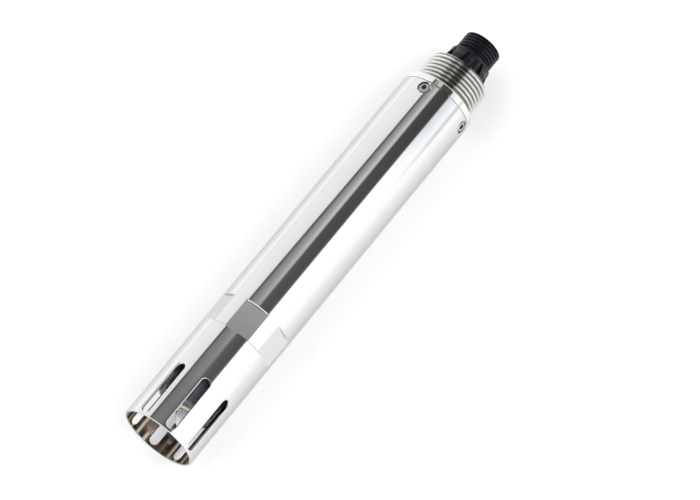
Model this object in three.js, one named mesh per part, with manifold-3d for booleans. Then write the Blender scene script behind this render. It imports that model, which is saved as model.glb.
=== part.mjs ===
// A digital water quality probe, lying on its side: a polished stainless tube
// with a slotted guard that screws off the sensing end, a pH electrode inside the guard, the
// measuring board in the dry middle, and a pipe-threaded rear plug with a plug-in cable socket.
// Millimetres, +Z up, probe axis along +X from the open guard to the cable socket. The origin
// is on the ground under the middle of the probe.
import * as THREE from "three";
import { mergeVertices } from "three/addons/utils/BufferGeometryUtils.js";
import Module from "manifold-3d";

const wasm = await Module();
wasm.setup();

// ---------------------------------------------------------------- driving dimensions

const BODY_RADIUS = 15.5;
const LENGTH = 206.6;
const TUBE_SIDES = 32;
const CORE_SIDES = 24;
const SMALL_SIDES = 16;

// Stations along the axis, from the open rim of the guard.
const SLOT_START = 1.1;
const SLOT_END = 26;
const GUARD_END = 46.3;
const TUBE_START = 46.5;
const FLATS_END = 59.3;
const BULKHEAD_END = 61.3;
const SCREW_STATION = 171.3;
const TUBE_END = 174.35;
const FLANGE_START = 174.5;
const FLANGE_END = 177;
const PIPE_THREAD_START = 179;
const PIPE_THREAD_END = 191;
const COLLAR_START = 191.4;
const COLLAR_END = 198.4;

// Guard: eight long slots with round ends.
const GUARD_BORE = 14.45;
const SLOT_WIDTH = 3.6;
const SLOT_COUNT = 8;
const SLOT_CLOCK = 19.1;

// Wrench flats on the front of the tube.
const FLAT_COUNT = 6;
const FLAT_DISTANCE = 14.6;
const FLAT_CLOCK = 6.9;

// Screw joint between the guard and the bulkhead spigot, modelled plain with running room.
const SPIGOT_START = 36;
const SPIGOT_RADIUS = 13.3;
const SPIGOT_LAND = 13.55;
const SPIGOT_LAND_START = 43.6;
const GUARD_THREAD_START = 35;
const GUARD_THREAD_BORE = 13.45;
const GUARD_GROOVE_START = 43.4;
const GUARD_GROOVE_END = 45.4;
const GUARD_GROOVE_RADIUS = 14.75;

// Tube bore, and the wider bore that takes the front bulkhead.
const TUBE_BORE = 13.2;
const BULKHEAD_BORE = 13.65;

// Rear fixing screws.
const SCREW_COUNT = 4;
const SCREW_CLOCK = -11.4;
const SCREW_HEAD_RADIUS = 2.15;
const SCREW_HEAD_SEAT = 14.45;
const SCREW_HEAD_TOP = 15.4;
const SCREW_SHANK_RADIUS = 1.2;
const SCREW_TIP = 10.8;
const SCREW_RECESS_RADIUS = 2.6;

// Pipe thread, 14 turns to the inch, and the cable socket's M16 x 1.5 thread.
const PIPE_MAJOR = 13.22;
const PIPE_MINOR = 12.06;
const PIPE_PITCH = 1.814;
const SOCKET_MAJOR = 8;
const SOCKET_MINOR = 7.15;
const SOCKET_PITCH = 1.5;
const SOCKET_BORE = 6.4;
const COLLAR_RADIUS = 9.55;
const COLLAR_NECK_RADIUS = 8.95;
const COLLAR_LOBES = 8;
const COLLAR_CLOCK = 0.8;

// Electrode cartridge. The bulb stands beside the axis, towards its own side of the nose.
const NOSE_RADIUS = 11.3;
const NOSE_START = 14.8;
const NOSE_END = 35.8;
const SHANK_RADIUS = 8.5;
const SHANK_END = 66;
const BULB_RADIUS = 4.8;
const BULB_STATION = 13;
const BULB_Y = -3.8;
const BULB_Z = -1.2;
const STEM_RADIUS = 2.3;
const STEM_END = 60;

// Contacts of the cable socket.
const PIN_COUNT = 5;
const PIN_CIRCLE = 3.4;
const PIN_RADIUS = 0.5;
const PIN_START = 184;
const PIN_END = 201.8;

// Measuring board.
const BOARD_START = 72;
const BOARD_END = 150;
const BOARD_WIDTH = 22;
const BOARD_HALF_THICKNESS = 0.8;

const GAP = 0.1;

// ---------------------------------------------------------------- materials

function material(color, roughness, metalness) {
  return new THREE.MeshStandardMaterial({ color, roughness, metalness });
}

const polishedSteel = () => material(0xd9dcdc, 0.08, 1);
const plainSteel = () => material(0xc4c3be, 0.25, 1);
const blackPlastic = () => material(0x222326, 0.5, 0);
const blackRubber = () => material(0x17181a, 0.75, 0);
const paleGlass = () => material(0xdcd8ee, 0.05, 0);
const creamCeramic = () => material(0xe8dfb8, 0.6, 0);
const silver = () => material(0x6a5a72, 0.4, 0.6);
const gold = () => material(0xd9a94a, 0.3, 1);
const greyResin = () => material(0x4a4d50, 0.7, 0);
const whitePlastic = () => material(0xe4e2da, 0.5, 0);
const greenBoard = () => material(0x1f5a37, 0.5, 0);
const tinnedSteel = () => material(0xb9bcbd, 0.35, 1);
const leadColors = [0xb03028, 0x20242c, 0x2e6fb0, 0xd8b23a, 0xe2e2de];

// ---------------------------------------------------------------- geometry helpers

// Angles round the probe are measured from +Z towards -Y, in degrees.
function radians(degrees) {
  return (degrees * Math.PI) / 180;
}

// Solid of revolution about the probe axis. The profile is a list of [station, radius], with
// the outer wall towards the rear and the bore back towards the front. Each radius is the
// distance from the axis to the middle of a facet, and a facet faces straight down.
function turned(profile, sides = CORE_SIDES) {
  const corner = 1 / Math.cos(Math.PI / sides);
  const points = profile.map(([station, radius]) => {
    return new THREE.Vector2(radius * corner, station);
  });
  const geometry = new THREE.LatheGeometry(points, sides, Math.PI / sides);
  return geometry.rotateZ(-Math.PI / 2);
}

// The same for a profile that closes on itself: a ring, sleeve or tube.
function turnedRing(profile, sides = CORE_SIDES) {
  return turned([...profile, profile[0]], sides);
}

// Square grooves for O-rings in an outer wall of the given radius.
function sealGrooves(stations, radius, depth) {
  const half = 0.8;
  return stations.flatMap((station) => [
    [station - half, radius],
    [station - half, radius - depth],
    [station + half, radius - depth],
    [station + half, radius],
  ]);
}

function oRing(station, radius, thickness, sides = 20) {
  const section = Array.from({ length: 5 }, (_, i) => {
    const angle = radians(72 * i);
    return [station - thickness * Math.cos(angle), radius + thickness * Math.sin(angle)];
  });
  return turnedRing(section, sides);
}

// A rod of round section between two stations, centred at y, z off the probe axis.
function rod(start, end, radius, y, z, sides = SMALL_SIDES) {
  const length = end - start;
  const geometry = new THREE.CylinderGeometry(radius, radius, length, sides);
  return geometry.rotateZ(-Math.PI / 2).translate(start + length / 2, y, z);
}

// A block between two stations: y0..y1 across and z0..z1 up.
function block(start, end, y0, y1, z0, z1) {
  const geometry = new THREE.BoxGeometry(end - start, y1 - y0, z1 - z0);
  return geometry.translate((start + end) / 2, (y0 + y1) / 2, (z0 + z1) / 2);
}

// A prism along the probe axis over an outline of [y, z] points.
function prism(outline, start, end) {
  const shape = new THREE.Shape(outline.map(([y, z]) => new THREE.Vector2(-z, y)));
  const geometry = new THREE.ExtrudeGeometry(shape, { depth: end - start, bevelEnabled: false });
  return geometry.rotateY(Math.PI / 2).translate(start, 0, 0);
}

function regularOutline(corners, radius) {
  return Array.from({ length: corners }, (_, i) => {
    const angle = radians((360 * i) / corners);
    return [radius * Math.cos(angle), radius * Math.sin(angle)];
  });
}

function toSolid(geometry) {
  const bare = geometry.index ? geometry.toNonIndexed() : geometry.clone();
  bare.deleteAttribute("normal");
  bare.deleteAttribute("uv");
  const merged = mergeVertices(bare, 1e-4);
  return new wasm.Manifold(
    new wasm.Mesh({
      numProp: 3,
      vertProperties: merged.attributes.position.array,
      triVerts: new Uint32Array(merged.index.array),
    }),
  );
}

function toGeometry(solid) {
  const { vertProperties, triVerts } = solid.getMesh();
  const geometry = new THREE.BufferGeometry();
  geometry.setAttribute("position", new THREE.BufferAttribute(vertProperties, 3));
  geometry.setIndex(new THREE.BufferAttribute(triVerts, 1));
  return geometry;
}

function cut(geometry, tools) {
  const solid = tools.reduce((left, tool) => left.subtract(toSolid(tool)), toSolid(geometry));
  return toGeometry(solid);
}

// One tool made at the top of the probe, repeated round the axis.
function around(count, clock, makeTool) {
  return Array.from({ length: count }, (_, i) => {
    return makeTool().rotateX(radians(clock + (360 * i) / count));
  });
}

// ---------------------------------------------------------------- guard

function slotTool() {
  const half = SLOT_WIDTH / 2;
  const outline = new THREE.Shape();
  outline.moveTo(SLOT_START + half, -half);
  outline.lineTo(SLOT_END - half, -half);
  outline.absarc(SLOT_END - half, 0, half, -Math.PI / 2, Math.PI / 2);
  outline.lineTo(SLOT_START + half, half);
  outline.absarc(SLOT_START + half, 0, half, Math.PI / 2, (3 * Math.PI) / 2);
  const options = { depth: 6, bevelEnabled: false, curveSegments: 5 };
  return new THREE.ExtrudeGeometry(outline, options).translate(0, 0, BODY_RADIUS - 4);
}

function makeGuard() {
  const sleeve = turnedRing(
    [
      [0, BODY_RADIUS - 0.3],
      [0.3, BODY_RADIUS],
      [GUARD_END - 0.2, BODY_RADIUS],
      [GUARD_END, BODY_RADIUS - 0.2],
      [GUARD_END, SPIGOT_LAND + 0.2],
      [GUARD_GROOVE_END, SPIGOT_LAND + 0.2],
      [GUARD_GROOVE_END, GUARD_GROOVE_RADIUS],
      [GUARD_GROOVE_START, GUARD_GROOVE_RADIUS],
      [GUARD_GROOVE_START, GUARD_THREAD_BORE],
      [GUARD_THREAD_START, GUARD_THREAD_BORE],
      [GUARD_THREAD_START - 1, GUARD_BORE],
      [0.2, GUARD_BORE],
      [0, GUARD_BORE + 0.2],
    ],
    TUBE_SIDES,
  );
  return cut(sleeve, around(SLOT_COUNT, SLOT_CLOCK, slotTool));
}

function makeGuardSeal() {
  const thickness = 0.5;
  const middle = (GUARD_GROOVE_RADIUS + SPIGOT_LAND) / 2;
  return oRing((GUARD_GROOVE_START + GUARD_GROOVE_END) / 2, middle, thickness, TUBE_SIDES);
}

// ---------------------------------------------------------------- tube and front bulkhead

function flatTool() {
  return block(TUBE_START - 1, FLATS_END, -8, 8, FLAT_DISTANCE, BODY_RADIUS + 2);
}

// An upright round tool at the screws' station, from one distance off the axis to another.
function screwTool(radius, low, high) {
  const tool = new THREE.CylinderGeometry(radius, radius, high - low, 20).rotateX(Math.PI / 2);
  return tool.translate(SCREW_STATION, 0, (low + high) / 2);
}

function screwRecessTool() {
  return screwTool(SCREW_RECESS_RADIUS, SCREW_HEAD_SEAT - 0.25, BODY_RADIUS + 1);
}

function screwHoleTool() {
  return screwTool(SCREW_SHANK_RADIUS + 0.3, SCREW_TIP - 1, BODY_RADIUS + 1);
}

function makeBodyTube() {
  const tube = turnedRing(
    [
      [TUBE_START, BODY_RADIUS - 0.2],
      [TUBE_START + 0.2, BODY_RADIUS],
      [TUBE_END - 0.15, BODY_RADIUS],
      [TUBE_END, BODY_RADIUS - 0.15],
      [TUBE_END, TUBE_BORE],
      [BULKHEAD_END + 0.3, TUBE_BORE],
      [BULKHEAD_END + 0.3, BULKHEAD_BORE],
      [TUBE_START, BULKHEAD_BORE],
    ],
    TUBE_SIDES,
  );
  return cut(tube, [
    ...around(FLAT_COUNT, FLAT_CLOCK, flatTool),
    ...around(SCREW_COUNT, SCREW_CLOCK, screwRecessTool),
    ...around(SCREW_COUNT, SCREW_CLOCK, screwHoleTool),
  ]);
}

// Bulkhead: screwed into the front of the tube, with the guard's spigot ahead of it and two
// seal grooves behind the seam.
const BULKHEAD_SEALS = [50, 53.5];
const BULKHEAD_RADIUS = BULKHEAD_BORE - 0.15;

function makeFrontBulkhead() {
  return turnedRing(
    [
      [SPIGOT_START, SPIGOT_RADIUS - 0.5],
      [SPIGOT_START + 0.5, SPIGOT_RADIUS],
      [SPIGOT_LAND_START - 1.4, SPIGOT_RADIUS],
      [SPIGOT_LAND_START - 1.4, SPIGOT_RADIUS - 0.6],
      [SPIGOT_LAND_START, SPIGOT_RADIUS - 0.6],
      [SPIGOT_LAND_START, SPIGOT_LAND],
      [TUBE_START + 0.1, SPIGOT_LAND],
      [TUBE_START + 0.1, BULKHEAD_RADIUS],
      ...sealGrooves(BULKHEAD_SEALS, BULKHEAD_RADIUS, 1.2),
      [BULKHEAD_END, BULKHEAD_RADIUS],
      [BULKHEAD_END, SHANK_RADIUS + 0.2],
      [SPIGOT_START, SHANK_RADIUS + 0.2],
    ],
    TUBE_SIDES,
  );
}

// ---------------------------------------------------------------- electrode cartridge

const ELECTRODE_SEALS = [39.6, 42.8];
const CHAMBER_RADIUS = 6.7;
const CHAMBER_START = 24;
const PIN_HOLE_Y = 5.4;
const PIN_HOLE_Z = 3.6;
const PIN_SHAFT_RADIUS = 1.75;
const PIN_SHAFT_END = 30;
const JUNCTION_INNER = 5;
const JUNCTION_OUTER = 6.2;

function makeElectrodeBody() {
  const shell = turned([
    [NOSE_START, 0],
    [NOSE_START, NOSE_RADIUS - 0.8],
    [NOSE_START + 0.8, NOSE_RADIUS],
    [NOSE_END, NOSE_RADIUS],
    [NOSE_END, SHANK_RADIUS],
    ...sealGrooves(ELECTRODE_SEALS, SHANK_RADIUS, 1.05),
    [46, SHANK_RADIUS],
    [46.5, SHANK_RADIUS - 0.5],
    [SHANK_END, SHANK_RADIUS - 0.5],
    [SHANK_END, CHAMBER_RADIUS],
    [CHAMBER_START, CHAMBER_RADIUS],
    [CHAMBER_START, 0],
  ]);
  const pocket = rod(NOSE_START - 2, 18.6, JUNCTION_OUTER + 0.15, BULB_Y, BULB_Z, 28);
  const stemHole = rod(18, CHAMBER_START + 1, STEM_RADIUS + 0.3, BULB_Y, BULB_Z);
  const pinHole = rod(NOSE_START - 2, PIN_SHAFT_END + 0.5, PIN_SHAFT_RADIUS + 0.2, PIN_HOLE_Y, PIN_HOLE_Z);
  return cut(shell, [pocket, stemHole, pinHole]);
}

// Thin-walled glass: a ball on a hollow stem that is open at its rear end.
function makeGlassBulb() {
  const wall = 0.45;
  const neck = Math.asin(STEM_RADIUS / BULB_RADIUS);
  const arc = (radius, from, to, steps) => {
    return Array.from({ length: steps + 1 }, (_, i) => {
      const angle = from + ((to - from) * i) / steps;
      return [BULB_STATION - radius * Math.cos(angle), radius * Math.sin(angle)];
    });
  };
  const innerNeck = Math.asin((STEM_RADIUS - wall) / (BULB_RADIUS - wall));
  const outside = arc(BULB_RADIUS, 0, Math.PI - neck, 8);
  const inside = arc(BULB_RADIUS - wall, Math.PI - innerNeck, 0, 8);
  const ends = [
    [STEM_END, STEM_RADIUS],
    [STEM_END, STEM_RADIUS - wall],
  ];
  outside[0][1] = 0;
  inside[inside.length - 1][1] = 0;
  return turned([...outside, ...ends, ...inside], 20).translate(0, BULB_Y, BULB_Z);
}

// Porous ring round the bulb, through which the reference electrolyte meets the water.
function makeReferenceJunction() {
  const ring = turnedRing(
    [
      [14.1, JUNCTION_OUTER - 0.4],
      [14.5, JUNCTION_OUTER],
      [18.2, JUNCTION_OUTER],
      [18.2, JUNCTION_INNER],
      [14.1, JUNCTION_INNER],
    ],
    28,
  );
  return ring.translate(0, BULB_Y, BULB_Z);
}

function makeTemperaturePin() {
  const pin = turned(
    [
      [10.6, 0],
      [10.6, PIN_SHAFT_RADIUS - 0.7],
      [10.9, PIN_SHAFT_RADIUS - 0.25],
      [11.5, PIN_SHAFT_RADIUS],
      [PIN_SHAFT_END, PIN_SHAFT_RADIUS],
      [PIN_SHAFT_END, 0],
    ],
    SMALL_SIDES,
  );
  return pin.translate(0, PIN_HOLE_Y, PIN_HOLE_Z);
}

function makeElectrodeEndPlug() {
  return rod(61, 65.6, CHAMBER_RADIUS - 0.25, 0, 0, CORE_SIDES);
}

function makeElectrodeNut() {
  const hex = prism(regularOutline(6, 12.2), BULKHEAD_END + 0.3, BULKHEAD_END + 4);
  return cut(hex, [rod(BULKHEAD_END, BULKHEAD_END + 5, SHANK_RADIUS - 0.2, 0, 0, CORE_SIDES)]);
}

// ---------------------------------------------------------------- rear plug and screws

function ringThread(start, count, pitch, minor, major) {
  return Array.from({ length: count }, (_, i) => {
    const root = start + i * pitch;
    return [
      [root, minor],
      [root + 0.5 * pitch, major],
    ];
  }).flat();
}

const FITTING_SEALS = [162.6, 166.2];
const FITTING_SPIGOT = TUBE_BORE - 0.15;
const FITTING_START = 160;
const FITTING_BORE = 10.3;
const NUT_SEAT = 183;
const NECK_BORE = 7.4;
const NECK_START = 178.4;

function makeTopFitting() {
  const plug = turnedRing(
    [
      [FITTING_START, FITTING_SPIGOT - 0.5],
      [FITTING_START + 0.5, FITTING_SPIGOT],
      ...sealGrooves(FITTING_SEALS, FITTING_SPIGOT, 1.2),
      [FLANGE_START, FITTING_SPIGOT],
      [FLANGE_START, BODY_RADIUS - 0.15],
      [FLANGE_START + 0.15, BODY_RADIUS],
      [FLANGE_END, BODY_RADIUS],
      [PIPE_THREAD_START - 0.1, PIPE_MAJOR],
      ...ringThread(PIPE_THREAD_START + 0.3, 6, PIPE_PITCH, PIPE_MINOR, PIPE_MAJOR),
      [PIPE_THREAD_END, PIPE_MINOR - 0.2],
      [PIPE_THREAD_END, NECK_BORE],
      [NUT_SEAT, NECK_BORE],
      [NUT_SEAT, FITTING_BORE],
      [FITTING_START, FITTING_BORE],
    ],
    TUBE_SIDES,
  );
  return cut(plug, around(SCREW_COUNT, SCREW_CLOCK, screwHoleTool));
}

// Button-head screw with a hexagon socket, made about its own axis and then stood on the tube.
function makeFixingScrew() {
  const outline = [
    [0, SCREW_TIP],
    [SCREW_SHANK_RADIUS, SCREW_TIP],
    [SCREW_SHANK_RADIUS, SCREW_HEAD_SEAT],
    [SCREW_HEAD_RADIUS, SCREW_HEAD_SEAT],
    [SCREW_HEAD_RADIUS, SCREW_HEAD_SEAT + 0.55],
    [SCREW_HEAD_RADIUS - 0.55, SCREW_HEAD_TOP - 0.05],
    [0, SCREW_HEAD_TOP],
  ];
  const profile = outline.map(([radius, height]) => new THREE.Vector2(radius, height));
  const screw = new THREE.LatheGeometry(profile, SMALL_SIDES).rotateX(Math.PI / 2);
  const socket = new THREE.CylinderGeometry(1.1, 1.1, 1.6, 6).rotateX(Math.PI / 2);
  return cut(screw, [socket.translate(0, 0, SCREW_HEAD_TOP)]).translate(SCREW_STATION, 0, 0);
}

// ---------------------------------------------------------------- cable socket

const INSERT_START = 188.5;
const INSERT_LEDGE = 195.5;
const INSERT_END = 198.2;

// Wedge-shaped gap between two lobes, wide at the plug and narrow at the neck.
function lobeGapTool() {
  const wide = 1.15;
  const narrow = 0.3;
  const run = 1.6;
  const outline = new THREE.Shape();
  outline.moveTo(COLLAR_START - GAP, -wide);
  outline.lineTo(COLLAR_START + run, -wide);
  outline.lineTo(COLLAR_END - run, -narrow);
  outline.lineTo(COLLAR_END - run, narrow);
  outline.lineTo(COLLAR_START + run, wide);
  outline.lineTo(COLLAR_START - GAP, wide);
  const tool = new THREE.ExtrudeGeometry(outline, { depth: 4, bevelEnabled: false });
  return tool.translate(0, 0, COLLAR_RADIUS - 1.2);
}

// Black nylon shell: threaded neck through the plug, lobed collar, M16 thread outside.
function makeConnectorShell() {
  const shell = turnedRing(
    [
      [NECK_START, NECK_BORE - 0.6],
      [NECK_START + 0.4, NECK_BORE - 0.2],
      [COLLAR_START, NECK_BORE - 0.2],
      [COLLAR_START, COLLAR_RADIUS - 0.2],
      [COLLAR_START + 0.2, COLLAR_RADIUS],
      [COLLAR_START + 2.8, COLLAR_RADIUS],
      [COLLAR_END - 1.8, COLLAR_NECK_RADIUS],
      [COLLAR_END - 0.4, COLLAR_NECK_RADIUS],
      [COLLAR_END, COLLAR_NECK_RADIUS - 0.5],
      ...ringThread(COLLAR_END + 0.1, 5, SOCKET_PITCH, SOCKET_MINOR, SOCKET_MAJOR),
      [LENGTH - 0.4, SOCKET_MAJOR - 0.2],
      [LENGTH, SOCKET_MAJOR - 0.45],
      [LENGTH, SOCKET_BORE],
      [INSERT_LEDGE + 1, SOCKET_BORE],
      [INSERT_LEDGE + 1, SOCKET_BORE - 0.5],
      [INSERT_LEDGE, SOCKET_BORE - 0.5],
      [INSERT_LEDGE, SOCKET_BORE],
      [NECK_START, SOCKET_BORE],
    ],
    CORE_SIDES,
  );
  return cut(shell, around(COLLAR_LOBES, COLLAR_CLOCK, lobeGapTool));
}

function pinPlaces() {
  return Array.from({ length: PIN_COUNT }, (_, i) => {
    const angle = radians(36 + (300 * i) / PIN_COUNT);
    return [PIN_CIRCLE * Math.sin(angle), PIN_CIRCLE * Math.cos(angle)];
  });
}

function makeConnectorInsert() {
  const carrier = turned([
    [INSERT_START, 0],
    [INSERT_START, SOCKET_BORE - 0.2],
    [INSERT_LEDGE - 0.2, SOCKET_BORE - 0.2],
    [INSERT_LEDGE - 0.2, SOCKET_BORE - 0.7],
    [INSERT_END, SOCKET_BORE - 0.7],
    [INSERT_END, 0],
  ]);
  const holes = pinPlaces().map(([y, z]) => {
    return rod(INSERT_START - 1, INSERT_END + 1, PIN_RADIUS + 0.15, y, z, 12);
  });
  return cut(carrier, holes);
}

function makeConnectorSeal() {
  return oRing(COLLAR_START - 0.21, 8.5, 0.17);
}

function makeConnectorNut() {
  const start = NUT_SEAT - 4;
  const hex = prism(regularOutline(6, FITTING_BORE - 0.4), start, NUT_SEAT - 0.3);
  return cut(hex, [rod(start - 1, NUT_SEAT + 1, NECK_BORE, 0, 0, CORE_SIDES)]);
}

function makeContactPin(y, z) {
  return rod(PIN_START, PIN_END, PIN_RADIUS, y, z, 10);
}

// ---------------------------------------------------------------- electronics

// Trough under the board, with its two edges as rails.
function makeBoardCarrier() {
  const outer = 12.7;
  const inner = 11.2;
  const steps = 10;
  const arc = (radius, from, to) => {
    return Array.from({ length: steps + 1 }, (_, i) => {
      const angle = radians(from + ((to - from) * i) / steps);
      return [radius * Math.cos(angle), radius * Math.sin(angle)];
    });
  };
  const outline = [...arc(outer, 186, 354), ...arc(inner, 352, 188)];
  return prism(outline, BOARD_START - 2, BOARD_END + 2);
}

function makeMainBoard() {
  const half = BOARD_WIDTH / 2;
  return block(BOARD_START, BOARD_END, -half, half, -BOARD_HALF_THICKNESS, BOARD_HALF_THICKNESS);
}

// A part that stands on the board: centre station and y, size along, across and up.
function onBoard(station, y, length, width, height) {
  const base = BOARD_HALF_THICKNESS + GAP;
  const half = length / 2;
  return block(station - half, station + half, y - width / 2, y + width / 2, base, base + height);
}

function makeSurgeCapacitor() {
  const can = new THREE.CylinderGeometry(3.1, 3.1, 5.5, SMALL_SIDES).rotateX(Math.PI / 2);
  return can.translate(133, -5.5, BOARD_HALF_THICKNESS + GAP + 2.75);
}

// Insulated lead through a list of points.
function lead(points, radius) {
  const path = new THREE.CatmullRomCurve3(points.map((p) => new THREE.Vector3(...p)));
  const section = new THREE.Shape(
    regularOutline(6, radius).map(([x, y]) => new THREE.Vector2(x, y)),
  );
  return new THREE.ExtrudeGeometry(section, { steps: 10, extrudePath: path });
}

function makeFrontLead(y, z, headerY) {
  return lead(
    [
      [65.9, y, z],
      [69, y, z + 0.6],
      [72, (y + headerY) / 2, 4],
      [75.6, headerY, 3.6],
    ],
    0.5,
  );
}

function makeRearWire(y, z, headerY) {
  return lead(
    [
      [149.3, headerY, 3.4],
      [156, headerY * 0.8, 3.2],
      [168, (headerY + y) / 2, (3 + z) / 2],
      [178, y, z],
      [PIN_START - 0.2, y, z],
    ],
    0.55,
  );
}

// ---------------------------------------------------------------- assembly

const probe = new THREE.Group();
probe.position.set(-LENGTH / 2, 0, BODY_RADIUS);

function add(name, geometry, finish, turn = 0) {
  const mesh = new THREE.Mesh(geometry, finish);
  mesh.name = name;
  mesh.rotation.x = radians(turn);
  probe.add(mesh);
  return mesh;
}

add("guard", makeGuard(), polishedSteel());
add("guard_seal", makeGuardSeal(), blackRubber());

add("body_tube", makeBodyTube(), polishedSteel());
add("front_bulkhead", makeFrontBulkhead(), plainSteel());
BULKHEAD_SEALS.forEach((station, i) => {
  add(`bulkhead_seal_${i + 1}`, oRing(station, BULKHEAD_RADIUS - 0.52, 0.55), blackRubber());
});

add("electrode_body", makeElectrodeBody(), blackPlastic());
ELECTRODE_SEALS.forEach((station, i) => {
  add(`electrode_seal_${i + 1}`, oRing(station, SHANK_RADIUS - 0.42, 0.48), blackRubber());
});
add("electrode_nut", makeElectrodeNut(), plainSteel());
add("electrode_end_plug", makeElectrodeEndPlug(), greyResin());
add("glass_bulb", makeGlassBulb(), paleGlass());
add("inner_electrode", rod(10.8, 59, 0.7, BULB_Y, BULB_Z, 12), silver());
add("reference_junction", makeReferenceJunction(), creamCeramic());
add("reference_wire", rod(27, 60.5, 0.4, 3.2, 1.2, 10), silver());
add("temperature_pin", makeTemperaturePin(), polishedSteel());

add("top_fitting", makeTopFitting(), polishedSteel());
FITTING_SEALS.forEach((station, i) => {
  add(`fitting_seal_${i + 1}`, oRing(station, FITTING_SPIGOT - 0.52, 0.55), blackRubber());
});
for (let i = 0; i < SCREW_COUNT; i += 1) {
  const turn = SCREW_CLOCK + (360 * i) / SCREW_COUNT;
  add(`fixing_screw_${i + 1}`, makeFixingScrew(), plainSteel(), turn);
}

add("connector_shell", makeConnectorShell(), blackPlastic());
add("connector_seal", makeConnectorSeal(), blackRubber());
add("connector_insert", makeConnectorInsert(), blackPlastic());
add("connector_nut", makeConnectorNut(), blackPlastic());
pinPlaces().forEach(([y, z], i) => {
  add(`contact_pin_${i + 1}`, makeContactPin(y, z), gold());
});

add("board_carrier", makeBoardCarrier(), whitePlastic());
add("main_board", makeMainBoard(), greenBoard());
add("front_header", onBoard(79, 0, 5, 14, 5), whitePlastic());
add("shield_can", onBoard(92, 0, 15, 15, 3.2), tinnedSteel());
add("microcontroller", onBoard(109, -2, 9, 9, 1.1), blackPlastic());
add("isolator_module", onBoard(124, 2, 13, 10, 6), blackPlastic());
add("surge_capacitor", makeSurgeCapacitor(), tinnedSteel());
add("rear_header", onBoard(146, 0, 5, 16, 5), whitePlastic());

[
  [BULB_Y, BULB_Z, -3],
  [3.2, 1.2, 3],
  [0, 4.2, 0],
].forEach(([y, z, headerY], i) => {
  add(`front_lead_${i + 1}`, makeFrontLead(y, z, headerY), material(leadColors[i], 0.5, 0));
});
pinPlaces().forEach(([y, z], i) => {
  const finish = material(leadColors[i], 0.5, 0);
  add(`rear_wire_${i + 1}`, makeRearWire(y, z, 2.6 * (PIN_COUNT - 1 - 2 * i) * 0.5), finish);
});

export default probe;
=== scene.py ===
"""A water quality probe lying on its side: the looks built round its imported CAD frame.

Shapes are made in millimetres about the probe axis. A station runs back from the open rim of
the guard, a radius is a distance from the axis, and an angle goes from +Z towards -Y.
"""

import math

import bmesh
import bpy
import numpy as np
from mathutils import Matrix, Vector


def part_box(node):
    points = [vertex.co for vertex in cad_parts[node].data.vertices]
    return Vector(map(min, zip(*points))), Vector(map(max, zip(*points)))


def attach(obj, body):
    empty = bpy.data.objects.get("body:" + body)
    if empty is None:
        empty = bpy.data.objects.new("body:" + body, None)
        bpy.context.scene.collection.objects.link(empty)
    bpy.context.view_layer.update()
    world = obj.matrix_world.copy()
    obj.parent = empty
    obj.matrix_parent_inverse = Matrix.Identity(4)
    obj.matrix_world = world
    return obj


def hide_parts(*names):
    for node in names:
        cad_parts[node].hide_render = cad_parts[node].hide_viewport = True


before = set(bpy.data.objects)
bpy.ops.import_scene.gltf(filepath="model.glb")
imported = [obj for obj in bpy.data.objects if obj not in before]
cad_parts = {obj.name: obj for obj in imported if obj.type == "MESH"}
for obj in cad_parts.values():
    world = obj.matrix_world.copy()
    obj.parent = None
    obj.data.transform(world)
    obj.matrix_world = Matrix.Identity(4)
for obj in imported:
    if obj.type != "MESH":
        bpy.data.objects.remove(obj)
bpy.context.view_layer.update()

MM = 0.001
TUBE_LOW, TUBE_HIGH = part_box("body_tube")
AXIS = (TUBE_LOW + TUBE_HIGH) / 2
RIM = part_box("guard")[0].x
BODY_RADIUS = (TUBE_HIGH.z - TUBE_LOW.z) / 2 / MM


# ------------ camera, floor and lights

CAMERA_PLACE = (-0.47981, -0.36643, 1.22792)
CAMERA_FORWARD = (0.35583, 0.26293, -0.89680)
CAMERA_LENS = 183.37
CAMERA_TILT = 16.8


def make_camera():
    data = bpy.data.cameras.new("camera")
    data.lens = CAMERA_LENS
    data.sensor_width = 36
    data.clip_start = 0.01
    data.clip_end = 50
    camera = bpy.data.objects.new("camera", data)
    bpy.context.scene.collection.objects.link(camera)
    camera.location = CAMERA_PLACE
    camera.rotation_euler = Vector(CAMERA_FORWARD).to_track_quat("-Z", "Y").to_euler()
    bpy.context.scene.camera = camera


def grey(value, blue=0.0):
    return (value * (1 - blue), value, value * (1 + blue), 1)


# Studio panels seen in the steel, as (angle round the probe axis, brightness, blueness).
# Angles are measured from the direction of the camera. The lower half is never seen, because
# the floor covers it. The dark band and its neighbours differ along the probe.
PANEL_PEAK = 1.75
PANELS_LEFT = [(-107, 1.24, 0.02), (-88, 1.23, 0.01), (-73, 1.17, 0.0), (-57.5, 1.10, 0.0)]
PANELS_FRONT = [
    (-56.0, 0.11, 0.0), (-53, 0.13, 0.02), (-48, 0.24, 0.03), (-30, 0.26, 0.0), (-21, 0.23, 0.0),
    (-9, 0.15, -0.03), (8, 0.12, -0.05), (15.8, 0.16, -0.05), (19.6, 1.62, 0.0),
]
PANELS_REAR = [
    (-56.0, 0.12, 0.0), (-53, 0.14, 0.02), (-46, 0.37, 0.02), (-33, 0.52, -0.02),
    (-24, 0.76, -0.03), (-20, 0.76, -0.03), (-15.5, 0.11, -0.06), (8, 0.095, -0.06),
    (16, 0.12, -0.06), (19.9, 1.62, 0.0),
]
PANELS_SOCKET = PANELS_REAR[:-4] + [
    (-15.5, 0.09, -0.06), (8, 0.07, -0.06), (16.8, 0.08, -0.06), (21, 1.0, 0.06),
    (28, 1.10, 0.05), (50, 1.42, 0.03), (57.5, 0.94, 0.0), (62, 0.94, 0.0), (67, 1.48, 0.0),
]
PANELS_RIGHT = [(73, 1.46, 0.0), (88, 1.34, 0.0), (107, 1.10, 0.0)]
END_PANEL = grey(1.35 / PANEL_PEAK)


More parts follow.
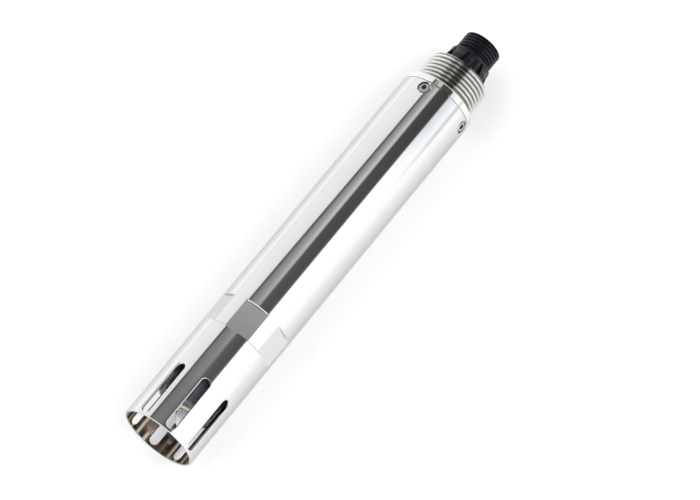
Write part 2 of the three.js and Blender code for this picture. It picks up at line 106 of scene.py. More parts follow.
class Graph:
    """A small help for wiring shader nodes: add() makes a node and links or sets its inputs."""

    def __init__(self, tree):
        self.tree = tree
        tree.nodes.clear()

    def add(self, kind, settings=None, **inputs):
        node = self.tree.nodes.new(kind)
        for key, value in (settings or {}).items():
            setattr(node, key, value)
        for key, value in inputs.items():
            socket = self.socket(node, key)
            if isinstance(value, bpy.types.NodeSocket):
                self.tree.links.new(value, socket)
            else:
                socket.default_value = value
        return node

    @staticmethod
    def socket(node, key):
        if key.startswith("in"):
            return node.inputs[int(key[2:])]
        return node.inputs[key.replace("_", " ")]

    def maths(self, operation, *values):
        inputs = {f"in{i}": value for i, value in enumerate(values)}
        return self.add("ShaderNodeMath", {"operation": operation}, **inputs).outputs[0]

    def ramp(self, factor, stops, interpolation="LINEAR"):
        node = self.add("ShaderNodeValToRGB", in0=factor)
        ramp = node.color_ramp
        ramp.interpolation = interpolation
        while len(ramp.elements) < len(stops):
            ramp.elements.new(1)
        for element, (place, color) in zip(ramp.elements, stops):
            element.position = place
        for element, (place, color) in zip(ramp.elements, stops):
            element.color = color
        return node.outputs[0]

    def mix(self, factor, first, second):
        node = self.add("ShaderNodeMix", {"data_type": "RGBA"})
        for index, value in ((0, factor), (6, first), (7, second)):
            if isinstance(value, bpy.types.NodeSocket):
                self.tree.links.new(value, node.inputs[index])
            else:
                node.inputs[index].default_value = value
        return node.outputs[2]

    def between(self, value, low, high, to_low=0.0, to_high=1.0):
        node = self.add("ShaderNodeMapRange", {"interpolation_type": "SMOOTHSTEP"})
        self.tree.links.new(value, node.inputs[0])
        for index, number in enumerate((low, high, to_low, to_high), start=1):
            node.inputs[index].default_value = number
        return node.outputs[0]


def panel_stops(panels):
    stops = []
    for angle, brightness, blue in panels:
        stops.append(((angle + 180) / 360, grey(brightness / PANEL_PEAK, blue)))
    return stops


def make_world():
    world = bpy.data.worlds.new("studio")
    bpy.context.scene.world = world
    world.use_nodes = True
    graph = Graph(world.node_tree)
    direction = graph.add("ShaderNodeTexCoord").outputs["Generated"]
    parts = graph.add("ShaderNodeSeparateXYZ", in0=direction)
    across = graph.maths("MULTIPLY", parts.outputs["Y"], -1.0)
    angle = graph.maths("ARCTAN2", across, parts.outputs["Z"])
    turned = graph.maths("SUBTRACT", angle, math.radians(CAMERA_TILT))
    turns = graph.maths("DIVIDE", turned, 2 * math.pi)
    place = graph.maths("WRAP", graph.maths("ADD", turns, 0.5), 1.0, 0.0)
    along = parts.outputs["X"]
    # The dark band's left edge leans as it runs back along the probe.
    lean = graph.between(along, 0.30, 0.41, 0.0, -0.028)
    lean = graph.maths("MULTIPLY", lean, graph.between(place, 0.24, 0.34))
    lean = graph.maths("MULTIPLY", lean, graph.between(place, 0.37, 0.44, 1.0, 0.0))
    place = graph.maths("ADD", place, lean)
    front = graph.ramp(place, panel_stops(PANELS_LEFT + PANELS_FRONT + PANELS_RIGHT))
    rear = graph.ramp(place, panel_stops(PANELS_LEFT + PANELS_REAR + PANELS_RIGHT))
    socket = graph.ramp(place, panel_stops(PANELS_LEFT + PANELS_SOCKET + PANELS_RIGHT))
    color = graph.mix(graph.between(along, 0.288, 0.367), front, rear)
    color = graph.mix(graph.between(along, 0.372, 0.398), color, socket)
    color = graph.mix(graph.between(along, -0.70, -0.40, 1.0, 0.0), color, END_PANEL)
    studio = graph.add("ShaderNodeBackground", Color=color, Strength=PANEL_PEAK)
    white = graph.add("ShaderNodeBackground", Color=(1, 1, 1, 1), Strength=1.0)
    path = graph.add("ShaderNodeLightPath")
    shown = graph.add("ShaderNodeMixShader", in0=path.outputs["Is Camera Ray"])
    graph.tree.links.new(studio.outputs[0], shown.inputs[1])
    graph.tree.links.new(white.outputs[0], shown.inputs[2])
    graph.add("ShaderNodeOutputWorld", Surface=shown.outputs[0])


def make_softbox(name, place, target, size, watts):
    data = bpy.data.lights.new(name, "AREA")
    data.shape = "SQUARE"
    data.size = size
    data.energy = watts
    light = bpy.data.objects.new(name, data)
    light.location = place
    aim = Vector(target) - Vector(place)
    light.rotation_euler = aim.to_track_quat("-Z", "Y").to_euler()
    light.visible_glossy = False
    bpy.context.scene.collection.objects.link(light)


FLOOR_SIZE = 4.0
FLOOR_GAP = 0.00005


def make_floor():
    """A pale floor with a faint glow of its own that rises away from the probe, so that the
    shadow beside the probe stays soft."""
    mesh = bpy.data.meshes.new("floor")
    grid = bmesh.new()
    bmesh.ops.create_grid(grid, x_segments=8, y_segments=8, size=FLOOR_SIZE)
    grid.to_mesh(mesh)
    grid.free()
    floor = bpy.data.objects.new("floor", mesh)
    floor.location = (0, 0, -FLOOR_GAP)
    bpy.context.scene.collection.objects.link(floor)
    material = bpy.data.materials.new("pale_floor")
    material.use_nodes = True
    graph = Graph(material.node_tree)
    place = graph.add("ShaderNodeTexCoord").outputs["Object"]
    grain = graph.add("ShaderNodeTexNoise", Vector=place, Scale=40.0, Detail=3.0).outputs[0]
    tone = graph.ramp(grain, [(0.3, grey(0.80)), (0.7, grey(0.82))])
    across = graph.add("ShaderNodeSeparateXYZ", in0=place).outputs["Y"]
    glow = graph.between(graph.maths("ABSOLUTE", across), 0.0, 0.22, 0.2, 0.44)
    shader = graph.add(
        "ShaderNodeBsdfPrincipled",
        Base_Color=tone, Roughness=0.9, Emission_Color=(1, 1, 1, 1), Emission_Strength=glow,
    )
    shader.inputs["Specular IOR Level"].default_value = 0.0
    graph.add("ShaderNodeOutputMaterial", Surface=shader.outputs[0])
    mesh.materials.append(material)


make_camera()
make_world()
make_floor()
make_softbox("key_softbox", (0.4, -0.9, 1.6), (0, 0, 0), 1.2, 11.6)
make_softbox("fill_softbox", (-0.5, 0.9, 1.5), (0, 0, 0), 1.4, 9.1)
view = bpy.context.scene.view_settings
view.view_transform = "Standard"
view.look = "None"


# ------------ mesh building

PLAIN, ROUND, FLAT = 0, 1, 2
WELD = 4e-7


def polar(station, radius, angle):
    turn = math.radians(angle)
    return (station, -radius * math.sin(turn), radius * math.cos(turn))


def even_angles(first, count):
    return [first + 360 * i / count for i in range(count)]


def blend(low, high, share):
    return low + (high - low) * share


def arc(station, radius, size, first, last, steps):
    """Part of a circle about a (station, radius), in degrees from its front over its top."""
    points = []
    for i in range(steps + 1):
        turn = math.radians(blend(first, last, i / steps))
        points.append((station - size * math.cos(turn), radius + size * math.sin(turn)))
    return points


class Shape:
    """Rings of points joined by bands of faces. Equal points are welded when it is built."""

    def __init__(self):
        self.points = []
        self.faces = []
        self.kinds = []

    def ring(self, points):
        start = len(self.points)
        self.points.extend(points)
        return list(range(start, start + len(points)))

    def band(self, first, second, kind=PLAIN, closed=True):
        count = len(first)
        for i in range(count if closed else count - 1):
            j = (i + 1) % count
            self.faces.append((first[i], first[j], second[j], second[i]))
            self.kinds.append(kind[i] if isinstance(kind, list) else kind)

    def bands(self, rings, kind=PLAIN, closed=True):
        for first, second in zip(rings, rings[1:]):
            self.band(first, second, kind, closed)

    def lathe(self, profile, angles, centre=(0, 0)):
        """Turns a list of (station, radius) about the axis, or about a line beside it."""
        previous = None
        for station, radius in profile:
            points = [polar(station, radius, angle) for angle in angles]
            moved = [(s, y + centre[0], z + centre[1]) for s, y, z in points]
            ring = self.ring(moved)
            if previous is not None:
                level = abs(radius - old_radius) < 1e-6 and centre == (0, 0)
                self.band(previous, ring, ROUND if level else PLAIN)
            previous = ring
            old_radius = radius

    def build(self, name, sharp=30):
        mesh = bpy.data.meshes.new(name)
        mesh.from_pydata([to_world(point) for point in self.points], [], self.faces)
        mesh.attributes.new("kind", "INT", "FACE").data.foreach_set("value", self.kinds)
        body = bmesh.new()
        body.from_mesh(mesh)
        bmesh.ops.remove_doubles(body, verts=body.verts, dist=WELD)
        bmesh.ops.recalc_face_normals(body, faces=body.faces)
        body.to_mesh(mesh)
        body.free()
        set_normals(mesh, sharp)
        piece = bpy.data.objects.new(name, mesh)
        bpy.context.scene.collection.objects.link(piece)
        return piece


def to_world(point):
    station, y, z = point
    return (RIM + station * MM, AXIS.y + y * MM, AXIS.z + z * MM)


def vectors(items, name):
    data = np.zeros(len(items) * 3, np.float32)
    items.foreach_get(name, data)
    return data.reshape(-1, 3)


def integers(items, name):
    data = np.zeros(len(items), np.int32)
    items.foreach_get(name, data)
    return data


def set_normals(mesh, sharp):
    """Smooth shading split at sharp edges, with exact normals on true cylinders and flats."""
    mesh.shade_smooth()
    mesh.set_sharp_from_angle(angle=math.radians(sharp))
    normals = vectors(mesh.corner_normals, "vector")
    places = vectors(mesh.vertices, "co")
    owners = integers(mesh.loops, "vertex_index")
    counts = integers(mesh.polygons, "loop_total")
    facing = np.repeat(vectors(mesh.polygons, "normal"), counts, axis=0)
    kinds = np.repeat(integers(mesh.attributes["kind"].data, "value"), counts)
    radial = places[owners] - np.array(AXIS, np.float32)
    radial[:, 0] = 0
    radial /= np.maximum(np.linalg.norm(radial, axis=1, keepdims=True), 1e-9)
    radial *= np.sign((radial * facing).sum(axis=1, keepdims=True))
    normals[kinds == ROUND] = radial[kinds == ROUND]
    normals[kinds == FLAT] = facing[kinds == FLAT]
    mesh.normals_split_custom_set(normals.tolist())
    mesh.attributes.remove(mesh.attributes["kind"])


def stations(node):
    low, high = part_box(node)
    return (low.x - RIM) / MM, (high.x - RIM) / MM


def centre_of(node):
    low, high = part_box(node)
    middle = (low + high) / 2 - AXIS
    return middle.y / MM, middle.z / MM


def half_height(node):
    low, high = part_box(node)
    return (high.z - low.z) / 2 / MM


def dress(piece, nodes, body, material, slot):
    piece.data.materials.clear()
    piece.data.materials.append(material)
    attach(piece, body)
    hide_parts(*nodes)
    return piece


# ------------ windows in a round wall

def window_border(angles, rows):
    """The border of a wall panel, gone round once, as (station, angle)."""
    border = [(rows[0], angle) for angle in angles]
    border += [(row, angles[-1]) for row in rows[1:]]
    border += [(rows[-1], angle) for angle in reversed(angles[:-1])]
    border += [(row, angles[0]) for row in reversed(rows[1:-1])]
    return border


class Window:
    """A round-ended opening through the wall, square to it at its own clock angle."""

    def __init__(self, shape, clock, core, angles, rows, reference):
        self.shape = shape
        self.clock = clock
        self.border = window_border(angles, rows)
        self.spokes = []
        for station, angle in self.border:
            middle = min(max(station, core[0]), core[1])
            side = reference * math.sin(math.radians(angle - clock))
            reach = math.hypot(station - middle, side)
            self.spokes.append((middle, (station - middle) / reach, side / reach))

    def edge(self, width, radius):
        """The opening's outline on a cylinder, as (station, angle)."""
        outline = []
        for middle, along, side in self.spokes:
            lean = math.degrees(math.asin(side * width / radius))
            outline.append((middle + along * width, self.clock + lean))
        return outline

    def wall(self, radius, width, rings, close=1.0):
        """The wall round the opening, from its panel's border to the opening's edge."""
        outline = self.edge(width, radius)
        made = []
        for i in range(rings + 1):
            share = (i / rings) ** close
            points = []
            for (s0, a0), (s1, a1) in zip(self.border, outline):
                points.append(polar(blend(s0, s1, share), radius, blend(a0, a1, share)))
            made.append(self.shape.ring(points))
        self.shape.bands(made, ROUND)
        return made[-1]

    def rim(self, width, radius):
        points = [polar(s, radius, angle) for s, angle in self.edge(width, radius)]
        return self.shape.ring(points)

    def level(self, width, height):
        """The opening's outline on a plane square to its clock angle."""
        turn = math.radians(self.clock)
        points = []
        for middle, along, side in self.spokes:
            y = -side * width * math.cos(turn) - height * math.sin(turn)
            z = -side * width * math.sin(turn) + height * math.cos(turn)
            points.append((middle + along * width, y, z))
        return self.shape.ring(points)


def sector(angles, clock, width):
    """The angles within a panel of the given width about a clock angle, in rising order."""
    first = clock - width / 2
    inside = []
    for angle in angles:
        offset = (angle - first + 0.001) % 360 - 0.001
        if offset <= width + 0.001:
            inside.append(first + offset)
    inside.sort()
    if inside[-1] < first + width - 0.01:
        inside.append(first + width)
    return inside


# ------------ guard

SLOT_CLOCK = 19.1
SLOT_COUNT = 8
SLOT_HALF_WIDTH = 1.8
SLOT_CORE = (2.9, 23.2)
SLOT_CHAMFER = 0.38
GUARD_BORE = 14.45
GUARD_THREAD = 13.45
GUARD_GROOVE = 14.75
GUARD_SKIRT = 13.75
WINDOW_ZONE_END = 28.0
GUARD_PANEL_SEGMENTS = 32


def guard_shape():
    start, end = stations("guard")
    outer = BODY_RADIUS
    shape = Shape()
    pitch = 360 / SLOT_COUNT
    angles = even_angles(SLOT_CLOCK - pitch / 2, SLOT_COUNT * GUARD_PANEL_SEGMENTS)
    zone_start = 0.3
    rows = [blend(zone_start, SLOT_CORE[0], i / 6) for i in range(6)]
    rows += [blend(SLOT_CORE[0], SLOT_CORE[1], i / 24) for i in range(24)]
    rows += [blend(SLOT_CORE[1], WINDOW_ZONE_END, i / 5) for i in range(6)]
    corner = 0.3
    front = [(zone_start, GUARD_BORE), (0.2, GUARD_BORE), (0.05, GUARD_BORE + 0.06)]
    front += [(0.0, GUARD_BORE + 0.2), (0.0, outer - corner - 0.05)]
    front += arc(corner, outer - corner, corner, 0, 90, 6)
    shape.lathe(front, angles)
    rear = [
        (WINDOW_ZONE_END, outer), (end - 0.12, outer), (end - 0.04, outer - 0.04),
        (end, outer - 0.12), (end, GUARD_SKIRT), (45.4, GUARD_SKIRT),
        (45.4, GUARD_GROOVE), (43.4, GUARD_GROOVE), (43.4, GUARD_THREAD), (35.2, GUARD_THREAD),
        (34.0, GUARD_BORE), (WINDOW_ZONE_END, GUARD_BORE),
    ]
    shape.lathe(rear, angles)
    for i in range(SLOT_COUNT):
        clock = SLOT_CLOCK + pitch * i
        panel = sector(angles, clock, pitch)
        window = Window(shape, clock, SLOT_CORE, panel, rows, outer)
        width = SLOT_HALF_WIDTH
        bevel = SLOT_CHAMFER
        inner_bevel = 0.15
        shape.bands([
            window.wall(outer, width + bevel, 6),
            window.rim(width + bevel * 0.35, outer - bevel * 0.35),
            window.rim(width, outer - bevel),
            window.rim(width, GUARD_BORE + inner_bevel),
            window.rim(width + inner_bevel, GUARD_BORE),
        ])
        window.wall(GUARD_BORE, width + inner_bevel, 6)
    return shape


# ------------ body tube

FLAT_COUNT = 6
FLAT_CLOCK = 6.9
FLAT_DISTANCE = 14.6
FLATS_END = 59.3
TUBE_BORE = 13.2
FRONT_BORE = 13.65
FRONT_BORE_END = 61.6
FRONT_OVERHANG = 0.1
SCREW_COUNT = 4
SCREW_CLOCK = -11.4
RECESS_RADIUS = 2.6
RECESS_FLOOR = 14.2
SCREW_HOLE = 1.5
FLAT_HALF_ANGLE = math.degrees(math.acos(FLAT_DISTANCE / BODY_RADIUS))


def tube_angles():
    """Angles that hit every edge of the flats and every side of the screws' panels."""
    angles = []
    pitch = 360 / FLAT_COUNT
    for i in range(FLAT_COUNT):
        clock = FLAT_CLOCK + pitch * i
        for j in range(25):
            angles.append(clock + FLAT_HALF_ANGLE * (j / 12 - 1))
        for j in range(1, 14):
            angles.append(clock + blend(FLAT_HALF_ANGLE, pitch - FLAT_HALF_ANGLE, j / 14))
    for i in range(SCREW_COUNT):
        side = SCREW_CLOCK + 360 / SCREW_COUNT * (i + 0.5)
        angles.append(side)
    return sorted(set(round(angle % 360, 6) for angle in angles))


def flat_offset(angle):
    pitch = 360 / FLAT_COUNT
    return (angle - FLAT_CLOCK + pitch / 2) % pitch - pitch / 2


def hex_radius(angle):
    return min(BODY_RADIUS, FLAT_DISTANCE / math.cos(math.radians(flat_offset(angle))))


def screw_windows(shape, angles, rows, reference):
    station = sum(stations("fixing_screw_1")) / 2
    width = 360 / SCREW_COUNT
    made = []
    for i in range(SCREW_COUNT):
        clock = SCREW_CLOCK + width * i
        panel = sector(angles, clock, width)
        made.append(Window(shape, clock, (station, station), panel, rows, reference))
    return made


def tube_shape():
    start, end = stations("body_tube")
    shape = Shape()
    angles = tube_angles()
    outer = BODY_RADIUS
    hexagon = [hex_radius(angle) for angle in angles]
    middles = [(a + b) / 2 for a, b in zip(angles, angles[1:])] + [angles[-1] + 0.5]
    kinds = [FLAT if abs(flat_offset(a)) < FLAT_HALF_ANGLE else ROUND for a in middles]

    def hex_ring(station, less=0.0, floor=0.0):
        points = []
        for angle, radius in zip(angles, hexagon):
            points.append(polar(station, max(radius - less, min(floor, outer)), angle))
        return shape.ring(points)

    start -= FRONT_OVERHANG
    edge = 0.1
    bevel = 0.3
    shape.band(hex_ring(start, edge), hex_ring(start + edge))
    shape.band(hex_ring(start + edge), hex_ring(FLATS_END), kinds)
    shape.band(hex_ring(FLATS_END), hex_ring(FLATS_END, 0, outer - bevel))
    round_ring = shape.ring([polar(FLATS_END + bevel, outer, angle) for angle in angles])
    shape.band(hex_ring(FLATS_END, 0, outer - bevel), round_ring)
    rows = [166.0, 167.0, 168.0, 169.0, 170.0, 171.3, 172.6, 173.6, end - 0.2]
    shape.lathe([(FLATS_END + bevel, outer), (110.0, outer), (rows[0], outer)], angles)
    tail = [(rows[-1], outer), (end - 0.06, outer - 0.05), (end, outer - 0.18)]
    tail += [(end, TUBE_BORE), (rows[-1], TUBE_BORE)]
    shape.lathe(tail, angles)
    bore = [(rows[0], TUBE_BORE), (FRONT_BORE_END, TUBE_BORE), (FRONT_BORE_END, FRONT_BORE)]
    bore += [(start, FRONT_BORE)]
    shape.lathe(bore, angles)
    mouth = shape.ring([polar(start, FRONT_BORE, angle) for angle in angles])
    shape.band(mouth, hex_ring(start, edge))
    lip = 0.14
    for window in screw_windows(shape, angles, rows, outer):
        shape.bands([
            window.wall(outer, RECESS_RADIUS + lip, 10),
            window.rim(RECESS_RADIUS + lip * 0.3, outer - lip * 0.4),
            window.rim(RECESS_RADIUS, outer - lip),
            window.level(RECESS_RADIUS, RECESS_FLOOR + 0.05),
            window.level(RECESS_RADIUS - 0.05, RECESS_FLOOR),
            window.level(SCREW_HOLE, RECESS_FLOOR),
            window.rim(SCREW_HOLE, TUBE_BORE),
        ])
        window.wall(TUBE_BORE, SCREW_HOLE, 10)
    return shape


# ------------ threads

def thread_band(shape, angles, start, end, pitch, section, limit):
    """Helical band from start to end. The section holds radii over one pitch, and limit
    gives the largest radius at a station, so that the thread runs out in its chamfers."""
    steps = len(section)
    turns = math.ceil((end - start) / pitch) + 1
    columns = []
    for angle in [*angles, angles[0] + 360]:
        lag = (angle - angles[0]) / 360
        points = []
        for i in range(-steps, turns * steps + 1):
            station = min(max(start + pitch * (i / steps + lag), start), end)
            radius = min(section[i % steps], limit(station))
            points.append(polar(station, radius, angle))
        columns.append(shape.ring(points))
    shape.bands(columns, closed=False)


def thread_section(minor, major, steps, crest=0.12, root=0.18):
    """Radii over one pitch of a thread with flat-topped, slightly rounded crests."""
    radii = []
    for i in range(steps):
        place = abs(2 * i / steps - 1)
        rise = min(max((1 - root - place) / (1 - root - crest), 0), 1)
        eased = 0.65 * rise + 0.35 * rise * rise * (3 - 2 * rise)
        radii.append(blend(minor, major, eased))
    return radii


# ------------ front bulkhead

GUARD_PITCH = 1.5


def bulkhead_shape():
    start, end = stations("front_bulkhead")
    shape = Shape()
    angles = even_angles(0, 192)
    bore = 8.7
    land = 13.55
    back = 13.5
    relief = 12.35
    shape.lathe([(start, bore), (start, relief)], angles)
    major = 13.3
    minor = 12.4
    thread_end = 42.2

    def limit(station):
        return relief + min(station - start, thread_end - station)

    section = thread_section(minor, major, 16)
    thread_band(shape, angles, start, thread_end, GUARD_PITCH, section, limit)
    profile = [
        (thread_end, relief), (43.5, relief), (43.6, relief + 0.1), (43.6, land - 0.15),
        (43.75, land), (46.6, land), (46.6, back),
    ]
    for station in (50.0, 53.5):
        profile += [(station - 0.8, back), (station - 0.8, back - 1.2)]
        profile += [(station + 0.8, back - 1.2), (station + 0.8, back)]
    profile += [(end, back), (end, bore), (start, bore)]
    shape.lathe(profile, angles)
    return shape


# ------------ electrode cartridge

NOSE_RADIUS = half_height("electrode_body")
RIB_COUNT = 72
RIB_DEPTH = 0.22


def rod_shape(start, end, radius, centre, tip=0.0, count=48, back=0.0):
    """A turned rod beside the axis, with rounded ends."""
    profile = [(start, 0)]
    profile += arc(start + tip, radius - tip, tip, 0, 90, 4)
    profile += arc(end - back, radius - back, back, 90, 180, 4)
    profile.append((end, 0))
    shape = Shape()
    shape.lathe(profile, even_angles(0, count), centre)
    return shape


def carve(piece, cutters):
    """Cuts round holes out of a piece and removes the cutters."""
    for cutter in cutters:
        tool = piece.modifiers.new("hole", "BOOLEAN")
        tool.operation = "DIFFERENCE"
        tool.solver = "EXACT"
        tool.object = cutter
    bpy.context.view_layer.update()
    finished = piece.evaluated_get(bpy.context.evaluated_depsgraph_get())
    mesh = bpy.data.meshes.new_from_object(finished)
    piece.modifiers.clear()
    piece.data = mesh
    for cutter in cutters:
        bpy.data.objects.remove(cutter)
    mesh.shade_smooth()
    mesh.set_sharp_from_angle(angle=math.radians(30))


def nose_piece():
    start, end = stations("electrode_body")
    shape = Shape()
    per_rib = 6
    angles = even_angles(0, RIB_COUNT * per_rib)
    shape.lathe([(24.0, 0), (24.0, 6.7), (end, 6.7), (end, 8.0), (46.5, 8.0), (46.0, 8.5)], angles)
    shank = [(46.0, 8.5)]
    for station in (42.8, 39.6):
        shank += [(station + 0.8, 8.5), (station + 0.8, 7.45)]
        shank += [(station - 0.8, 7.45), (station - 0.8, 8.5)]
    nose_end = 35.8
    shank += [(nose_end, 8.5), (nose_end, NOSE_RADIUS - 0.3), (nose_end - 0.3, NOSE_RADIUS)]
    shank += [(nose_end - 1.2, NOSE_RADIUS)]
    shape.lathe(shank, angles)
    rings = []
    ribs = [(nose_end - 1.2, 0), (nose_end - 1.7, 1), (start + 2.2, 1), (start + 1.7, 0)]
    for station, share in ribs:
        points = []
        for i, angle in enumerate(angles):
            wave = 0.5 - 0.5 * math.cos(2 * math.pi * i / per_rib)
            points.append(polar(station, NOSE_RADIUS - RIB_DEPTH * share * wave, angle))
        rings.append(shape.ring(points))
    shape.bands(rings)
    corner = 0.8
    nose = arc(start + corner, NOSE_RADIUS - corner, corner, 90, 0, 6)
    shape.lathe([(start + 1.7, NOSE_RADIUS), *nose, (start, 0)], angles)
    piece = shape.build("electrode_housing")
    bulb = centre_of("reference_junction")
    pin = centre_of("temperature_pin")
    sizes = [
        (start - 2, 18.6, half_height("reference_junction") + 0.15, bulb),
        (18.0, 25.0, 2.6, bulb),
        (start - 2, 30.5, half_height("temperature_pin") + 0.2, pin),
    ]
    cutters = []
    for i, (low, high, radius, centre) in enumerate(sizes):
        cutters.append(rod_shape(low, high, radius, centre, count=64).build(f"cutter_{i}"))
    carve(piece, cutters)
    return piece


def bulb_shape():
    start, end = stations("glass_bulb")
    radius = half_height("glass_bulb")
    ball = start + radius
    stem = 2.3
    wall = 0.45
    profile = []
    for size, bore in ((radius, stem), (radius - wall, stem - wall)):
        neck = 180 - math.degrees(math.asin(bore / size))
        profile.append(arc(ball, 0, size, 0, neck, 28))
    outline = profile[0] + [(end, stem), (end, stem - wall)] + profile[1][::-1]
    shape = Shape()
    shape.lathe(outline, even_angles(0, 72), centre_of("glass_bulb"))
    return shape


def junction_shape():
    start, end = stations("reference_junction")
    outer = half_height("reference_junction")
    inner = 5.0
    corner = 0.4
    profile = [(start, inner + 0.1), (start, outer - 0.45)]
    profile += arc(start + corner, outer - corner, corner, 18, 90, 4)
    profile += [(end, outer), (end, inner), (start + 0.1, inner), (start, inner + 0.1)]
    shape = Shape()
    shape.lathe(profile, even_angles(0, 96), centre_of("reference_junction"))
    return shape


def seal_shape(node):
    """A true round O-ring in the place of the CAD one."""
    start, end = stations(node)
    section = (end - start) / 2
    middle = half_height(node) - section
    shape = Shape()
    shape.lathe(arc((start + end) / 2, middle, section, 0, 360, 20), even_angles(0, 144))
    return shape


# ------------ rear plug and screws

PIPE_MAJOR = 13.22
PIPE_MINOR = 12.1
PIPE_PITCH = 1.814
PIPE_RELIEF = 11.95
FLANGE_END = 177.0


def fitting_shape():
    start, end = stations("top_fitting")
    flange_start = 174.5
    shape = Shape()
    segments = 256
    angles = even_angles(SCREW_CLOCK - 180 / SCREW_COUNT, segments)
    spigot = 13.05
    bore = 10.3
    neck = 7.4
    rows = [168.4, 169.4, 170.4, 171.3, 172.2, 173.2, 174.3]
    flange = BODY_RADIUS
    thread_start = 178.95
    outer = [(rows[-1], spigot), (flange_start, spigot), (flange_start, flange - 0.18)]
    outer += [(flange_start + 0.06, flange - 0.05), (flange_start + 0.2, flange)]
    outer += [(FLANGE_END - 0.1, flange), (FLANGE_END + 0.1, flange - 0.1)]
    outer += [(178.75, PIPE_MAJOR + 0.1), (178.8, PIPE_RELIEF + 0.2), (thread_start, PIPE_RELIEF)]
    shape.lathe(outer, angles)

    def limit(station):
        return min(PIPE_RELIEF + 1.5 * max(station - thread_start - 0.1, 0), 11.9 + (end - station))

    section = thread_section(PIPE_MINOR, PIPE_MAJOR, 16)
    thread_band(shape, angles, thread_start, end, PIPE_PITCH, section, limit)
    inner = [(end, 11.9), (end, neck + 0.1), (end - 0.1, neck), (183.0, neck), (183.0, bore)]
    inner += [(rows[-1], bore)]
    shape.lathe(inner, angles)
    front = [(rows[0], spigot)]
    for station in (166.2, 162.6):
        front += [(station + 0.8, spigot), (station + 0.8, spigot - 1.2)]
        front += [(station - 0.8, spigot - 1.2), (station - 0.8, spigot)]
    front += [(start + 0.5, spigot), (start, spigot - 0.5), (start, bore), (rows[0], bore)]
    shape.lathe(front, angles)
    for window in screw_windows(shape, angles, rows, spigot):
        rings = [window.wall(spigot, SCREW_HOLE, 8), window.rim(SCREW_HOLE, bore)]
        shape.bands(rings)
        window.wall(bore, SCREW_HOLE, 8)
    return shape


SCREW_TOP = 15.4
SCREW_SEAT = 14.45
SCREW_HEAD = 2.15
SCREW_SHANK = 1.2
SCREW_TIP = 10.8
KEY_FLATS = 1.0
KEY_DEPTH = 0.75


def screw_shape(index):
    """Button-head screw with a hexagon socket, turned about the upright line of its hole."""
    station = sum(stations("fixing_screw_1")) / 2
    clock = SCREW_CLOCK + 360 / SCREW_COUNT * index
    turn = math.radians(clock)
    count = 72
    shape = Shape()

    def ring(height, size, hexagon=False):
        points = []
        for i in range(count):
            spin = 360 * i / count
            corner = math.cos(math.radians((spin % 60) - 30))
            radius = size / corner if hexagon else size
            side = radius * math.sin(math.radians(spin))
            y = -side * math.cos(turn) - height * math.sin(turn)
            z = -side * math.sin(turn) + height * math.cos(turn)
            points.append((station + radius * math.cos(math.radians(spin)), y, z))
        return shape.ring(points)

    rings = [ring(SCREW_TIP, 0), ring(SCREW_TIP, SCREW_SHANK - 0.2)]
    rings += [ring(SCREW_TIP + 0.2, SCREW_SHANK), ring(SCREW_SEAT, SCREW_SHANK)]
    rings += [ring(SCREW_SEAT, SCREW_HEAD - 0.08), ring(SCREW_SEAT + 0.08, SCREW_HEAD)]
    rings += [ring(SCREW_SEAT + 0.3, SCREW_HEAD)]
    crown = SCREW_TOP - SCREW_SEAT - 0.3
    for i in range(1, 8):
        swing = math.radians(10 * i)
        height = SCREW_SEAT + 0.3 + crown * math.sin(swing) / math.sin(math.radians(70))
        rings += [ring(height, SCREW_HEAD - 0.75 * (1 - math.cos(swing)))]
    rings += [ring(SCREW_TOP, 1.35), ring(SCREW_TOP - 0.12, KEY_FLATS, True)]
    rings += [ring(SCREW_TOP - KEY_DEPTH, KEY_FLATS, True), ring(SCREW_TOP - KEY_DEPTH - 0.3, 0)]
    shape.bands(rings)
    return shape


# ------------ cable socket

COLLAR_START = 191.4
COLLAR_END = 198.4
COLLAR_LOBES = 8
COLLAR_CLOCK = 0.8
COLLAR_RADIUS = 9.55
COLLAR_NECK = 8.95
GAP_FLOOR = 8.0
LOBE_DIP = 0.3
SOCKET_MAJOR = 8.0
SOCKET_MINOR = 7.2
SOCKET_PITCH = 1.5
SOCKET_BORE = 6.4
PIN_COUNT = 5


def smooth_step(low, high, value):
    share = min(max((value - low) / (high - low), 0), 1)
    return share * share * (3 - 2 * share)


def collar_surface(station):
    return blend(COLLAR_RADIUS, COLLAR_NECK, smooth_step(194.0, 196.9, station))


def collar_gap(station):
    """Half the width of the gap between two lobes, in millimetres."""
    return blend(1.35, 0.5, min(max((station - 193.0) / 3.8, 0), 1))


def collar_columns(station):
    """(angle, depth below the surface, share of the gap's floor) round the collar."""
    pitch = 360 / COLLAR_LOBES
    to_angle = math.degrees(1 / COLLAR_RADIUS)
    gap = collar_gap(station) * to_angle
    edge = 0.45 * to_angle
    columns = []
    for i in range(COLLAR_LOBES):
        clock = COLLAR_CLOCK + pitch * i
        for share in (-1, -0.5, 0, 0.5, 1):
            columns.append((clock + share * gap * 0.98, 0, 1))
        first = clock + gap
        last = clock + pitch - gap
        steps = 5
        for j in range(steps):
            turn = math.radians(90 * j / steps)
            columns.append((first + edge * (1 - math.cos(turn)), 0.42 * (1 - math.sin(turn)), 0))
        dip = LOBE_DIP if i % 2 == 0 else 0
        for j in range(17):
            hollow = 0.5 - 0.5 * math.cos(2 * math.pi * j / 16)
            columns.append((blend(first + edge, last - edge, j / 16), dip * hollow, 0))
        for j in range(steps):
            turn = math.radians(90 * (j + 1) / steps)
            columns.append((last - edge + edge * math.sin(turn), 0.42 * (1 - math.cos(turn)), 0))
    return columns


